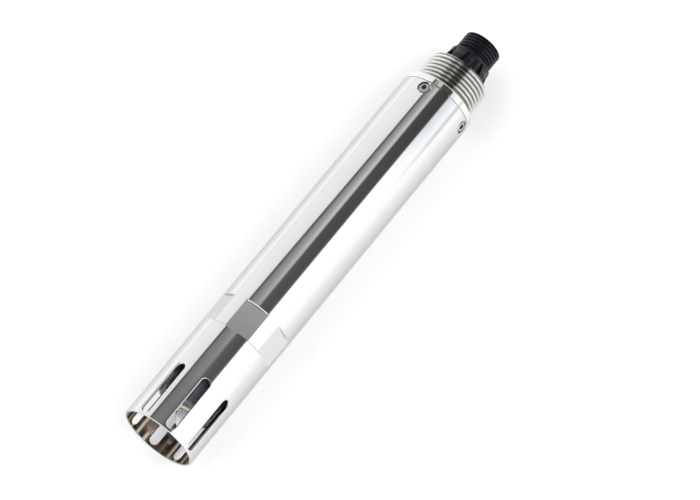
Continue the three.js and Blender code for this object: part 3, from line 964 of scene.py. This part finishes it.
def shell_shape():
    start, end = stations("connector_shell")
    shape = Shape()
    base = [angle for angle, depth, floor in collar_columns(COLLAR_START)]
    tip = [angle for angle, depth, floor in collar_columns(COLLAR_END)]
    shape.lathe([(start, 6.8), (start + 0.4, 7.2), (COLLAR_START, 7.2)], base)

    def collar_ring(station, surface, share):
        points = []
        for angle, depth, floor in collar_columns(station):
            height = surface - share * depth
            if floor:
                height = blend(surface, min(GAP_FLOOR, surface), share)
            points.append(polar(station, height, angle))
        return shape.ring(points)

    rows = [(COLLAR_START, COLLAR_RADIUS - 0.25, 1)]
    rows += [(COLLAR_START + 0.08, COLLAR_RADIUS - 0.08, 1)]
    rows += [(COLLAR_START + 0.25, COLLAR_RADIUS, 1)]
    for i in range(14):
        station = blend(COLLAR_START + 1.0, 196.6, i / 13)
        rows.append((station, collar_surface(station), 1))
    rows += [(196.8, collar_surface(196.8), 0.9), (196.95, collar_surface(196.95), 0.25)]
    rows += [(197.1, COLLAR_NECK, 0), (COLLAR_END - 0.45, COLLAR_NECK, 0)]
    rows += [(COLLAR_END - 0.12, COLLAR_NECK - 0.12, 0), (COLLAR_END, COLLAR_NECK - 0.4, 0)]
    rings = [shape.ring([polar(COLLAR_START, 7.2, angle) for angle in base])]
    rings += [collar_ring(*row) for row in rows]
    rings.append(shape.ring([polar(COLLAR_END, SOCKET_MINOR - 0.1, angle) for angle in tip]))
    shape.bands(rings)

    def limit(station):
        run_in = SOCKET_MINOR - 0.1 + 1.2 * max(station - COLLAR_END - 0.35, 0)
        return min(run_in, SOCKET_MAJOR - 0.04 + 0.5 * (end - station - 0.35))

    section = thread_section(SOCKET_MINOR, SOCKET_MAJOR, 12, 0.2, 0.16)
    thread_end = end - 0.35
    thread_band(shape, tip, COLLAR_END, thread_end, SOCKET_PITCH, section, limit)
    last = limit(thread_end)
    back = [(thread_end, last), (end - 0.08, last - 0.05), (end, last - 0.2)]
    back += [(end, SOCKET_BORE + 0.25), (end - 0.25, SOCKET_BORE)]
    back += [(196.5, SOCKET_BORE), (196.5, 5.9), (195.5, 5.9), (195.5, SOCKET_BORE)]
    back += [(start, SOCKET_BORE)]
    shape.lathe(back, tip)
    inner = shape.ring([polar(start, SOCKET_BORE, angle) for angle in tip])
    shape.band(inner, shape.ring([polar(start, 6.8, angle) for angle in base]))
    return shape


def insert_piece():
    start, end = stations("connector_insert")
    shape = Shape()
    rim = 5.7
    profile = [(start, 0), (start, 6.2), (195.3, 6.2), (195.3, rim), (end - 0.25, rim)]
    profile += [(end - 0.08, rim - 0.08), (end, rim - 0.25), (end, 4.9), (end - 0.35, 4.8)]
    profile += [(end - 0.35, 0)]
    shape.lathe(profile, even_angles(0, 96))
    piece = shape.build("socket_insert")
    cutters = []
    for i in range(PIN_COUNT):
        hole = rod_shape(start - 1, end + 1, 0.65, centre_of(f"contact_pin_{i + 1}"), count=24)
        cutters.append(hole.build(f"pin_hole_{i + 1}"))
    carve(piece, cutters)
    return piece


# ------------ materials

def new_surface(name):
    material = bpy.data.materials.new(name)
    material.use_nodes = True
    return material, Graph(material.node_tree)


def placed(graph, along=1.0, around=1.0):
    """Object coordinates, stretched along the probe or round it."""
    place = graph.add("ShaderNodeTexCoord").outputs["Object"]
    node = graph.add("ShaderNodeMapping", Vector=place)
    node.inputs["Scale"].default_value = (along, around, around)
    return node.outputs[0]


def noise(graph, place, scale, detail=3.0, roughness=0.55):
    node = graph.add("ShaderNodeTexNoise", Vector=place, Scale=scale, Detail=detail)
    node.inputs["Roughness"].default_value = roughness
    return node.outputs[0]


def axis_distance(graph):
    """Distance from the probe axis, in metres."""
    place = graph.add("ShaderNodeTexCoord").outputs["Object"]
    parts = graph.add("ShaderNodeSeparateXYZ", in0=place)
    across = graph.maths("SUBTRACT", parts.outputs["Y"], AXIS.y)
    height = graph.maths("SUBTRACT", parts.outputs["Z"], AXIS.z)
    squares = [graph.maths("POWER", side, 2.0) for side in (across, height)]
    return graph.maths("SQRT", graph.maths("ADD", *squares))


def close_surface(graph, color, roughness, height=None, depth=0.0, **constants):
    shader = graph.add("ShaderNodeBsdfPrincipled", Base_Color=color, Roughness=roughness)
    for key, value in constants.items():
        shader.inputs[key.replace("_", " ")].default_value = value
    if height is not None:
        bump = graph.add("ShaderNodeBump", Height=height, Strength=1.0, Distance=depth)
        graph.tree.links.new(bump.outputs[0], shader.inputs["Normal"])
    graph.add("ShaderNodeOutputMaterial", Surface=shader.outputs[0])


def scratches(graph, scale, threshold):
    """Sparse fine lines, mostly round the tube: 1 on a line and 0 elsewhere."""
    place = placed(graph, 1.0, 0.12)
    wobble = graph.add("ShaderNodeTexNoise", Vector=place, Scale=scale * 0.2, Detail=2.0)
    shifted = graph.add("ShaderNodeVectorMath", {"operation": "MULTIPLY_ADD"})
    graph.tree.links.new(wobble.outputs["Color"], shifted.inputs[0])
    shifted.inputs[1].default_value = (0.004, 0.004, 0.004)
    graph.tree.links.new(place, shifted.inputs[2])
    cells = graph.add("ShaderNodeTexVoronoi", {"feature": "DISTANCE_TO_EDGE"}, Scale=scale)
    graph.tree.links.new(shifted.outputs[0], cells.inputs["Vector"])
    line = graph.between(cells.outputs["Distance"], 0.0, threshold, 1.0, 0.0)
    patch = graph.between(noise(graph, placed(graph), 150.0, 2.0), 0.54, 0.64)
    return graph.maths("MULTIPLY", line, patch)


EDGE_TINT = (0.75, 0.76, 0.77, 1)


def polished_steel(name, bore=0.0):
    """Mirror-polished stainless: faint hand marks and hair scratches. Within the bore radius,
    in metres, it is duller and turns a darker, warmer tan: painted shade and a painted warm
    reflection inside the bore."""
    material, graph = new_surface(name)
    smears = noise(graph, placed(graph, 1.0, 0.6), 70.0, 4.0)
    lines = noise(graph, placed(graph, 1.0, 0.02), 2600.0, 2.0)
    marks = scratches(graph, 420.0, 0.012)
    bright = graph.ramp(smears, [(0.3, (0.66, 0.665, 0.67, 1)), (0.7, (0.69, 0.69, 0.69, 1))])
    inside = graph.between(axis_distance(graph), bore, bore + 0.0002, 1.0, 0.0)
    # Painted shade and painted warm reflection: inside the bore the steel turns a darker tan.
    bore_shade_and_reflection = graph.ramp(smears, [(0.35, (0.33, 0.275, 0.225, 1)), (0.65, (0.43, 0.375, 0.32, 1))])
    color = graph.mix(inside, bright, bore_shade_and_reflection)
    color = graph.mix(graph.maths("MULTIPLY", marks, 0.15), color, (0.5, 0.5, 0.5, 1))
    rough = graph.between(smears, 0.35, 0.75, 0.028, 0.07)
    rough = graph.maths("ADD", rough, graph.maths("MULTIPLY", lines, 0.02))
    rough = graph.maths("ADD", rough, graph.maths("MULTIPLY", marks, 0.12))
    rough = graph.maths("ADD", rough, graph.maths("MULTIPLY", inside, 0.06))
    swell = noise(graph, placed(graph, 1.0, 1.0), 160.0, 1.0)
    close_surface(graph, color, rough, swell, 1.2e-6, Metallic=1.0, Specular_Tint=EDGE_TINT)
    return material


def machined_steel(name, low, high, rough, lines_bump, root=None, polish=None):
    """Turned steel: fine rings round the axis. With root and polish, two ranges of distance
    from the axis, thread roots are darker with painted shade and anything wider than the thread
    is polished."""
    material, graph = new_surface(name)
    rings = noise(graph, placed(graph, 1.0, 0.015), 2400.0, 3.0)
    stains = noise(graph, placed(graph), 260.0, 4.0)
    color = graph.ramp(stains, [(0.3, low), (0.7, high)])
    if root:
        # Painted shade: nearer the axis than the root range the colour darkens, as in thread roots.
        floor = graph.between(axis_distance(graph), root[0], root[1], 1.0, 0.0)
        color = graph.mix(graph.maths("MULTIPLY", floor, 0.9), color, (0.08, 0.072, 0.06, 1))
    wear = graph.between(rings, 0.3, 0.7, rough - 0.05, rough + 0.06)
    if polish:
        left = graph.between(axis_distance(graph), polish[0], polish[1], 1.0, 0.25)
        wear = graph.maths("MULTIPLY", wear, left)
    close_surface(graph, color, wear, rings, lines_bump, Metallic=1.0)
    return material


def moulded(name, low, high, rough, grain=1400.0, depth=8e-6, **constants):
    """Moulded plastic, resin or ceramic: a fine grain over slow changes of tone."""
    material, graph = new_surface(name)
    place = placed(graph)
    grains = noise(graph, place, grain, 3.0)
    tones = noise(graph, place, 140.0, 3.0)
    color = graph.ramp(tones, [(0.3, low), (0.7, high)])
    wear = graph.between(grains, 0.3, 0.7, rough - 0.06, rough + 0.06)
    close_surface(graph, color, wear, grains, depth, **constants)
    return material


def sensing_glass():
    """Thin lavender-tinted membrane glass with a slightly uneven blown wall."""
    material, graph = new_surface("sensing_glass")
    place = placed(graph)
    waves = noise(graph, place, 300.0, 2.0)
    color = graph.ramp(waves, [(0.3, (0.90, 0.88, 0.97, 1)), (0.7, (0.97, 0.96, 1.0, 1))])
    rough = graph.between(waves, 0.3, 0.7, 0.02, 0.09)
    close_surface(
        graph, color, rough, waves, 2e-6,
        Transmission_Weight=0.3, IOR=1.47, Coat_Weight=0.4, Coat_Roughness=0.03,
    )
    return material


def board_laminate():
    """Green circuit board with copper tracks under the lacquer."""
    material, graph = new_surface("board_laminate")
    place = placed(graph)
    tracks = graph.add("ShaderNodeTexVoronoi", {"distance": "MANHATTAN"}, Vector=place, Scale=520.0)
    line = graph.between(tracks.outputs["Distance"], 0.42, 0.46, 0.0, 1.0)
    tones = noise(graph, place, 300.0, 3.0)
    mask = graph.ramp(tones, [(0.3, (0.012, 0.085, 0.035, 1)), (0.7, (0.02, 0.12, 0.05, 1))])
    color = graph.mix(line, mask, (0.05, 0.22, 0.09, 1))
    rough = graph.between(tones, 0.3, 0.7, 0.28, 0.4)
    close_surface(graph, color, rough, line, 1.5e-5, Coat_Weight=0.3)
    return material


def make_materials():
    black = (0.014, 0.0145, 0.016, 1)
    # The electrode housing is a near-black plastic. These two greys lift it as a painted sheen,
    # partly its own dark grey.
    housing_grey_with_sheen = (0.07, 0.075, 0.088, 1)
    housing_sheen_grey = (0.13, 0.138, 0.16, 1)
    steel_low = (0.62, 0.61, 0.58, 1)
    steel_high = (0.74, 0.73, 0.70, 1)
    made = {
        "polished_steel": polished_steel("polished_steel"),
        # Painted shade and painted warm reflection inside the guard's bore.
        "guard_steel": polished_steel("guard_steel", (GUARD_BORE + 0.2) * MM),
        # Painted shade: the thread roots are darkened.
        "threaded_steel": machined_steel(
            "threaded_steel", (0.72, 0.715, 0.695, 1), (0.79, 0.785, 0.77, 1), 0.14, 1.2e-6,
            (0.0120, 0.0129), (0.0135, 0.0139),
        ),
        "turned_steel": machined_steel("turned_steel", steel_low, steel_high, 0.22, 3e-6),
        # Painted shade: the socket floors and the lower sides of the screw heads are darkened.
        "screw_steel": machined_steel(
            "screw_steel", (0.40, 0.385, 0.36, 1), (0.52, 0.50, 0.47, 1), 0.2, 2e-6,
            (0.0147, 0.0153),
        ),
        "tinned_steel": machined_steel(
            "tinned_steel", (0.58, 0.6, 0.6, 1), (0.7, 0.72, 0.72, 1), 0.3, 3e-6,
        ),
        "black_nylon": moulded(
            "black_nylon", (0.006, 0.007, 0.010, 1), (0.010, 0.011, 0.014, 1), 0.22, depth=4e-6,
            Specular_IOR_Level=0.24,
        ),
        # Painted sheen: lifted greys on the near-black housing.
        "electrode_black": moulded("electrode_black", housing_grey_with_sheen, housing_sheen_grey, 0.28),
        "chip_black": moulded("chip_black", black, (0.024, 0.0255, 0.029, 1), 0.5),
        "white_plastic": moulded(
            "white_plastic", (0.68, 0.67, 0.62, 1), (0.78, 0.77, 0.72, 1), 0.45,
        ),
        "green_board": board_laminate(),
        "potting_resin": moulded(
            "potting_resin", (0.05, 0.055, 0.06, 1), (0.08, 0.085, 0.09, 1), 0.4,
        ),
        "seal_rubber": moulded("seal_rubber", (0.010, 0.010, 0.011, 1), black, 0.6, 900.0),
        "sensing_glass": sensing_glass(),
        "silver_chloride": moulded(
            "silver_chloride", (0.045, 0.018, 0.075, 1), (0.12, 0.07, 0.17, 1), 0.5, 2400.0,
        ),
        "junction_ceramic": moulded(
            "junction_ceramic", (0.80, 0.76, 0.60, 1), (0.88, 0.85, 0.72, 1), 0.55, 1800.0,
        ),
        "gold_plate": machined_steel(
            "gold_plate", (0.85, 0.58, 0.2, 1), (0.93, 0.68, 0.3, 1), 0.2, 1e-6,
        ),
    }
    lead_colors = {
        "lead_red": (0.42, 0.03, 0.02), "lead_black": (0.012, 0.014, 0.018),
        "lead_blue": (0.02, 0.14, 0.42), "lead_yellow": (0.62, 0.42, 0.04),
        "lead_white": (0.7, 0.7, 0.66),
    }
    for name, (r, g, b) in lead_colors.items():
        light = (min(r * 1.25, 1), min(g * 1.25, 1), min(b * 1.25, 1), 1)
        made[name] = moulded(name, (r, g, b, 1), light, 0.42, 1100.0, 4e-6)
    return made


# ------------ assembly

materials = make_materials()


def place_piece(name, shape, node, body, slot, sharp=30, finish=None):
    piece = shape if isinstance(shape, bpy.types.Object) else shape.build(name, sharp)
    return dress(piece, [node], body, materials[finish or slot], slot)


place_piece(
    "guard_sleeve", guard_shape(), "guard", "guard", "polished_steel", finish="guard_steel",
)
place_piece("tube_shell", tube_shape(), "body_tube", "probe", "polished_steel", 12)
place_piece("bulkhead_spigot", bulkhead_shape(), "front_bulkhead", "probe", "turned_steel")
place_piece("electrode_housing", nose_piece(), "electrode_body", "probe", "electrode_black")
place_piece("glass_membrane", bulb_shape(), "glass_bulb", "probe", "sensing_glass")
place_piece("junction_ring", junction_shape(), "reference_junction", "probe", "junction_ceramic")
place_piece("rear_plug", fitting_shape(), "top_fitting", "probe", "threaded_steel", 40)
place_piece("socket_shell", shell_shape(), "connector_shell", "probe", "black_nylon", 32)
place_piece("socket_insert", insert_piece(), "connector_insert", "probe", "black_nylon")

for index in range(SCREW_COUNT):
    node = f"fixing_screw_{index + 1}"
    place_piece(f"button_screw_{index + 1}", screw_shape(index), node, "probe", "screw_steel")

for index in range(PIN_COUNT):
    node = f"contact_pin_{index + 1}"
    low, high = stations(node)
    pin = rod_shape(low, high, half_height(node), centre_of(node), 0.1, 32, 0.4)
    place_piece(f"gold_pin_{index + 1}", pin, node, "probe", "gold_plate")

ROUND_RODS = {
    "temperature_pin": ("temperature_probe", 0.75, "polished_steel"),
    "inner_electrode": ("bulb_electrode", 0.6, "silver_chloride"),
    "reference_wire": ("silver_wire", 0.3, "silver_chloride"),
}
for node, (name, tip, slot) in ROUND_RODS.items():
    low, high = stations(node)
    rod = rod_shape(low, high, half_height(node), centre_of(node), tip)
    place_piece(name, rod, node, "probe", slot)

SEAL_BODIES = {
    "guard_seal": "seal_carrier", "bulkhead_seal_1": "probe", "bulkhead_seal_2": "probe",
    "electrode_seal_1": "probe", "electrode_seal_2": "probe", "fitting_seal_1": "probe",
    "fitting_seal_2": "probe", "connector_seal": "probe",
}
for node, body in SEAL_BODIES.items():
    place_piece(f"o_ring_{node}", seal_shape(node), node, body, "seal_rubber")

KEPT_NODES = {
    "electrode_nut": "turned_steel", "electrode_end_plug": "potting_resin",
    "connector_nut": "black_nylon", "board_carrier": "white_plastic",
    "main_board": "green_board", "front_header": "white_plastic",
    "shield_can": "tinned_steel", "microcontroller": "chip_black",
    "isolator_module": "chip_black", "surge_capacitor": "tinned_steel",
    "rear_header": "white_plastic",
}
LEAD_SLOTS = ["lead_red", "lead_black", "lead_blue", "lead_yellow", "lead_white"]
for index in range(3):
    KEPT_NODES[f"front_lead_{index + 1}"] = LEAD_SLOTS[index]
for index in range(PIN_COUNT):
    KEPT_NODES[f"rear_wire_{index + 1}"] = LEAD_SLOTS[index]
for node, slot in KEPT_NODES.items():
    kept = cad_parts[node]
    kept.data.materials.clear()
    kept.data.materials.append(materials[slot])

bpy.context.view_layer.update()
